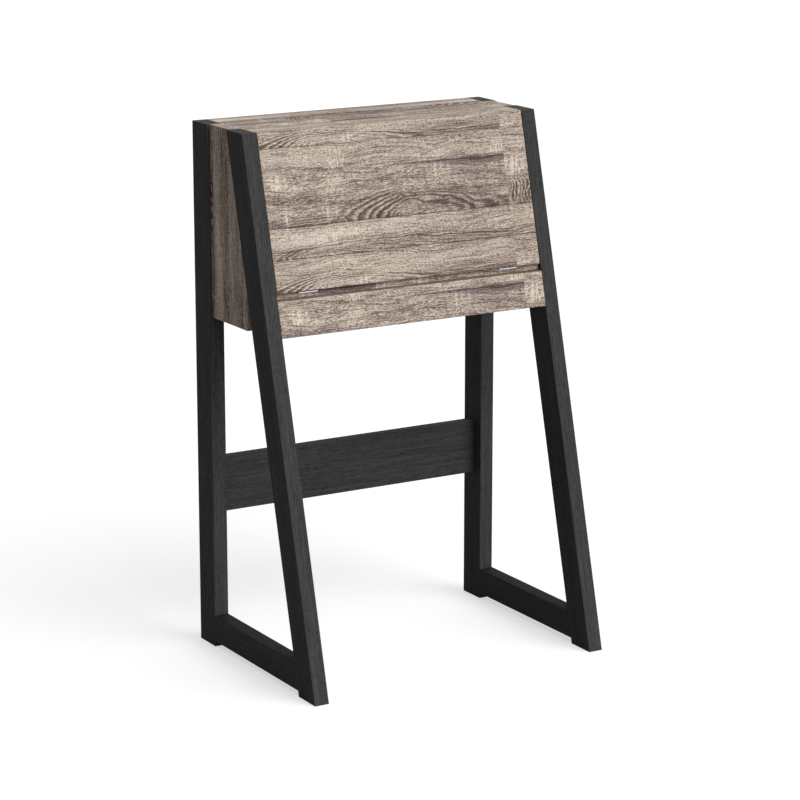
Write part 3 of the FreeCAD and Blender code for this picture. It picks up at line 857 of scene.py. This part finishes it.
screw_tree, screw = fixing_tree("countersunk_screw", "Head radius", "Head depth", "Shank radius", "Length",
                                "Recess reach", "Recess width", "Recess depth")
screw_head = round_bar(screw_tree, screw["Shank radius"], screw["Head radius"], screw["Head depth"])
screw_head = moved(screw_tree, screw_head, times(screw_tree, screw["Head depth"], -1.0))
screw_recess = cross_recess(screw_tree, screw["Recess reach"], screw["Recess width"], screw["Recess depth"])
shank_top = times(screw_tree, screw["Shank radius"], shank_taper)
shank_length = maths(screw_tree, "SUBTRACT", screw["Length"], screw["Head depth"])
screw_shank = round_bar(screw_tree, screw_tip, shank_top, shank_length)
screw_shank = moved(screw_tree, screw_shank, times(screw_tree, screw["Length"], -1.0))
end_tree(screw_tree, screw, joined(screw_tree, cut(screw_tree, screw_head, *screw_recess), screw_shank))
screw_sizes = {"head_radius": 0.00248, "head_depth": 0.00108, "shank_radius": 0.00118, "length": 0.0088,
               "recess_reach": 0.0031, "recess_width": 0.00075, "recess_depth": 0.0008}
screw_groups = {"frame": ("hinge_board_screws",), "flap": ("hinge_flap_screws", "stay_bracket_screws")}
for body, groups in screw_groups.items():
    mouths = [(mouth, outward) for group in groups for mouth, outward, middle in seats(group)]
    piece = fixings("cross_head_screws_on_" + body, screw_tree, mouths, bright_steel, **screw_sizes)
    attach(piece, body)
    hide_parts(*groups)

# Stays
# Slotted arms of bright plated steel strip. Each is riveted to an angle bracket screwed to the flap, and
# slides on a shouldered stud in the leg until the slot's end stops the flap level.


def bar(start, end, radius):
    """Outline of a flat bar with round ends along the first axis."""
    return arc((end, 0), radius, -90, 90) + arc((start, 0), radius, 90, 270)


stay_joint = joints["right_stay_swing"]
rivet = Vector(stay_joint["pos_m"])
stud_low, stud_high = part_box("right_stay_stud")
stud = Vector((rivet.x, (stud_low[1] + stud_high[1]) / 2, (stud_low[2] + stud_high[2]) / 2))
arm_low, arm_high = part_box("right_stay_arm")
arm_along = (stud - rivet).normalized()
arm_across = Vector((1, 0, 0)).cross(arm_along)
arm_place = Matrix((
    (arm_along.x, arm_across.x, 1, arm_low[0]),
    (arm_along.y, arm_across.y, 0, rivet.y),
    (arm_along.z, arm_across.z, 0, rivet.z),
    (0, 0, 0, 1),
))
arm_half_width = 0.007
arm_tail = 0.006
arm_thickness = arm_high[0] - arm_low[0]
slot_half_width = 0.0028
slot_start = 0.0197
arm_ease = 0.0003
rivet_hole_radius = 0.00205
arm_reach = max((vertex.co - rivet).dot(arm_along) for vertex in nodes["right_stay_arm"].data.vertices)
arm_end = arm_reach - arm_half_width
slot_outline = bar(slot_start, arm_end - arm_tail, slot_half_width)[::-1]
rivet_hole = hole((0, 0), rivet_hole_radius)
foot_length = 0.028
foot_width = 0.020
foot_corner = 0.003
foot_gap = 0.0004
bracket_thickness = 0.0015
bracket_ease = 0.0002
ear_height = 0.009
ear_gap = 0.0002
ear_hole_radius = 0.0021
ear_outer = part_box("right_stay_bracket")[1][0]
open_rivet = opened @ rivet
writing_height = open_rivet.z - ear_height
near_x = -foot_gap - foot_corner
far_x = foot_corner - foot_width
half_y = foot_length / 2 - foot_corner
foot_outline = arc((near_x, half_y), foot_corner, 0, 90, corner_steps)
foot_outline += arc((far_x, half_y), foot_corner, 90, 180, corner_steps)
foot_outline += arc((far_x, -half_y), foot_corner, 180, 270, corner_steps)
foot_outline += arc((near_x, -half_y), foot_corner, 270, 360, corner_steps)
foot_holes = []
for spread in (-foot_length / 4, foot_length / 4):
    middle = (-foot_width * 2 / 3, spread)
    foot_holes.append((hole(middle, screw_foot), hole(middle, screw_mouth)))
foot_place = shut @ Matrix.Translation((ear_outer, open_rivet.y, writing_height))
ear_outline = [Vector((-arm_half_width, ear_gap)), Vector((arm_half_width, ear_gap))]
ear_outline += arc((0, ear_height), arm_half_width, 0, 180)
ear_hole = hole((0, ear_height), ear_hole_radius)
ear_inner = ear_outer - bracket_thickness
ear_turn = Matrix((
    (0, 0, 1, ear_inner),
    (1, 0, 0, open_rivet.y),
    (0, 1, 0, writing_height),
    (0, 0, 0, 1),
))
for side, handed in sides.items():
    arm = bmesh.new()
    plate(arm, bar(0, arm_end, arm_half_width), [(slot_outline, slot_outline), (rivet_hole, rivet_hole)],
          arm_thickness, arm_ease, handed @ arm_place)
    piece = finished(side + "slotted_stay_arm", arm, bright_steel)
    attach(piece, side + "stay")
    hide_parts(side + "stay_arm")
    bracket = bmesh.new()
    plate(bracket, foot_outline, foot_holes, bracket_thickness, bracket_ease, handed @ foot_place)
    plate(bracket, ear_outline, [(ear_hole, ear_hole)], bracket_thickness, bracket_ease,
          handed @ shut @ ear_turn)
    piece = finished(side + "stay_angle_bracket", bracket, bright_steel)
    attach(piece, "flap")
    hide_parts(side + "stay_bracket")

# A rivet and a stud are the same kind of piece: a neck between two heads, either of which may be domed
dome_segments = 6
rivet_play = 0.0003
stud_seat = 0.2920
pin_tree, pin = fixing_tree("headed_pin", "Head radius", "Near edge", "Near dome", "Neck radius", "Grip",
                            "Far edge", "Far dome")


def domed_head(tree, sizes, end):
    """A round head that stands on its plane and rises to a dome."""
    made = add(tree, "GeometryNodeMeshCylinder", fill_type="TRIANGLE_FAN")
    made.inputs["Vertices"].default_value = round_steps
    made.inputs["Fill Segments"].default_value = dome_segments
    feed(tree, made.inputs["Radius"], sizes["Head radius"])
    feed(tree, made.inputs["Depth"], sizes[end + " edge"])
    place = axes(tree, add(tree, "GeometryNodeInputPosition").outputs[0])
    square = times(tree, place[0], place[0])
    square = maths(tree, "MULTIPLY_ADD", place[1], place[1], square)
    radius_square = times(tree, sizes["Head radius"], sizes["Head radius"])
    swell = maths(tree, "SUBTRACT", 1.0, maths(tree, "DIVIDE", square, radius_square))
    upper = maths(tree, "GREATER_THAN", place[2], 0.0)
    swell = times(tree, swell, sizes[end + " dome"], upper)
    risen = add(tree, "GeometryNodeSetPosition")
    tree.links.new(made.outputs["Mesh"], risen.inputs["Geometry"])
    tree.links.new(vector(tree, 0.0, 0.0, swell), risen.inputs["Offset"])
    return moved(tree, risen.outputs["Geometry"], times(tree, sizes[end + " edge"], 0.5))


near_head = add(pin_tree, "GeometryNodeTransform")
pin_tree.links.new(domed_head(pin_tree, pin, "Near"), near_head.inputs["Geometry"])
near_head.inputs["Rotation"].default_value = (math.pi, 0, 0)
far_head = moved(pin_tree, domed_head(pin_tree, pin, "Far"), pin["Grip"])
pin_neck = round_bar(pin_tree, pin["Neck radius"], pin["Neck radius"], pin["Grip"])
end_tree(pin_tree, pin, joined(pin_tree, near_head.outputs["Geometry"], far_head, pin_neck))
outwards = Vector((1, 0, 0))
rivet_places = []
stud_places = []
for hand in (1, -1):
    rivet_places.append((Vector((hand * ear_inner, rivet.y, rivet.z)), hand * outwards))
    stud_places.append((Vector((hand * stud_seat, stud.y, stud.z)), -hand * outwards))
rivet_grip = arm_high[0] + rivet_play - ear_inner
piece = fixings("stay_rivets", pin_tree, rivet_places, bright_steel, head_radius=0.00425, near_edge=0.0003,
                near_dome=0.00055, neck_radius=0.00195, grip=rivet_grip, far_edge=0.0003, far_dome=0.00055)
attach(piece, "flap")
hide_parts("left_stay_rivet", "right_stay_rivet")
piece = fixings("stay_studs", pin_tree, stud_places, bright_steel, head_radius=0.00425, near_edge=0.00148,
                near_dome=0.0, neck_radius=0.0025, grip=0.0026, far_edge=0.0006, far_dome=0.00085)
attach(piece, "frame")
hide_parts("left_stay_stud", "right_stay_stud")

# Fixings of the boards
# Die-cast zinc cams, turned with a screwdriver from the hidden faces, bite on the heads of steel bolts and
# draw the joints shut. Beech dowels keep them in line.

dish_taper = 0.94
cam_depth = 0.011
cast_zinc = plated_steel("cast_zinc", (0.50, 0.50, 0.49), 0.42, 0.62)
cam_tree, cam = fixing_tree("cam_lock", "Radius", "Depth", "Rim", "Dish", "Recess reach", "Recess width",
                            "Recess depth")
cam_body = round_bar(cam_tree, cam["Radius"], cam["Radius"], cam["Depth"])
cam_body = moved(cam_tree, cam_body, times(cam_tree, cam["Depth"], -1.0))
dish_radius = maths(cam_tree, "SUBTRACT", cam["Radius"], cam["Rim"])
dish_foot = times(cam_tree, dish_radius, dish_taper)
cam_dish = round_bar(cam_tree, dish_foot, dish_radius, times(cam_tree, cam["Dish"], 2.0))
cam_dish = moved(cam_tree, cam_dish, times(cam_tree, cam["Dish"], -1.0))
cam_body = cut(cam_tree, cam_body, cam_dish)
cam_recess = cross_recess(cam_tree, cam["Recess reach"], cam["Recess width"], cam["Recess depth"])
end_tree(cam_tree, cam, cut(cam_tree, cam_body, *cam_recess))
cam_places = [(middle - inward * cam_depth / 2, -inward) for end, inward, middle in seats("cam_locks")]
piece = fixings("cam_locks_cast", cam_tree, cam_places, cast_zinc, radius=0.0071, depth=0.0108, rim=0.0009,
                dish=0.0007, recess_reach=0.0092, recess_width=0.0020, recess_depth=0.0042)
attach(piece, "frame")
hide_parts("cam_locks")
nodes["cam_bolts"].data.materials[0] = bright_steel

beech, beech_tree = new_material("beech")
beech_place = add(beech_tree, "ShaderNodeTexCoord").outputs["Object"]
beech_fibre = stretched_noise(beech_tree, beech_place, 0.012, 0.0008, 13)
beech_fleck = fade(beech_tree, stretched_noise(beech_tree, beech_place, 0.003, 0.0006, 15, 0.0), 0.6, 0.72)
beech_tone = maths(beech_tree, "MULTIPLY_ADD", beech_fleck, -0.25, beech_fibre)
beech_colour = tones(beech_tree, beech_tone, (0.2, (0.36, 0.22, 0.12)), (0.7, (0.58, 0.40, 0.25)))
beech_roughness = maths(beech_tree, "MULTIPLY_ADD", beech_tone, -0.2, 0.7)
shade(beech_tree, beech_colour, beech_roughness, beech_tone, depth=0.0002)
nodes["dowels"].data.materials[0] = beech

# Floor and light
# A white floor that keeps a faint shadow, under a soft dome that is brightest high in front of the desk and
# to its right, with a weaker glow from behind.

bpy.context.scene.view_settings.view_transform = "Standard"

# Light of the dome: its lowest level, and of each glow the turn, the height and the level
dome_lowest = 0.11
dome_glows = ((22, 40, 4.85), (145, 20, 1.4))
glow_focus = 7.0
floor_half = 40.0
floor_light = 0.57


def seen_or_mirrored(tree):
    """1 for rays that show a surface to the eye, straight or in metal, and 0 for its light on the desk."""
    path = add(tree, "ShaderNodeLightPath").outputs
    return most(tree, path["Is Camera Ray"], path["Is Glossy Ray"], path["Is Transmission Ray"])


def glow(tree, direction, turn, height):
    """A broad glow on the dome, at a turn to the right of the front and a height, in degrees."""
    turn = math.radians(turn)
    height = math.radians(height)
    reach = math.cos(height)
    towards = Vector((math.sin(turn) * reach, -math.cos(turn) * reach, math.sin(height)))
    facing = add(tree, "ShaderNodeVectorMath", operation="DOT_PRODUCT")
    feed(tree, facing.inputs[0], direction)
    facing.inputs[1].default_value = towards
    facing = most(tree, facing.outputs["Value"], 0.0)
    return maths(tree, "POWER", facing, glow_focus)


world = bpy.data.worlds.new("studio")
bpy.context.scene.world = world
world.use_nodes = True
dome = world.node_tree
dome_direction = add(dome, "ShaderNodeTexCoord").outputs["Generated"]
dome_parts = [(glow(dome, dome_direction, turn, height), level) for turn, height, level in dome_glows]
dome_level = weighed(dome, dome_lowest, *dome_parts)
dome_mix = add(dome, "ShaderNodeMix")
feed(dome, dome_mix.inputs[0], seen_or_mirrored(dome))
feed(dome, dome_mix.inputs[2], dome_level)
dome_mix.inputs[3].default_value = 1.0
sky = dome.nodes["Background"]
sky.inputs["Color"].default_value = (1, 1, 1, 1)
feed(dome, sky.inputs["Strength"], dome_mix.outputs[0])

floor_mesh = bpy.data.meshes.new("floor")
floor_mesh.from_pydata([(-floor_half, -floor_half, 0), (floor_half, -floor_half, 0),
                        (floor_half, floor_half, 0), (-floor_half, floor_half, 0)], [], [(0, 1, 2, 3)])
floor = bpy.data.objects.new("floor", floor_mesh)
bpy.context.scene.collection.objects.link(floor)
floor_finish, floor_tree = new_material("white_floor")
floor_shader = floor_tree.nodes["Principled BSDF"]
floor_seen = seen_or_mirrored(floor_tree)
floor_colour = tones(floor_tree, floor_seen, (0.0, (0.3, 0.3, 0.3)), (1.0, (0.55, 0.55, 0.55)))
feed(floor_tree, floor_shader.inputs["Base Color"], floor_colour)
floor_shader.inputs["Roughness"].default_value = 1.0
floor_shader.inputs["Specular IOR Level"].default_value = 0.0
floor_shader.inputs["Emission Color"].default_value = (1, 1, 1, 1)
floor_glow = times(floor_tree, floor_seen, floor_light)
feed(floor_tree, floor_shader.inputs["Emission Strength"], floor_glow)
floor_mesh.materials.append(floor_finish)

# Camera
# Where the photograph was taken from, looking down a little and across the left corner. It has no shift, so
# that it can go round the desk for other views.

camera_dip = math.radians(13.8145)
camera_turn = math.radians(30.6198)
camera_data = bpy.data.cameras.new("camera")
camera_data.sensor_width = 36.0
camera_data.lens = 131.52
camera = bpy.data.objects.new("camera", camera_data)
camera.location = (-2.811, -4.7483, 1.8552)
camera.rotation_euler = (quarter - camera_dip, 0, -camera_turn)
bpy.context.scene.collection.objects.link(camera)
bpy.context.scene.camera = camera
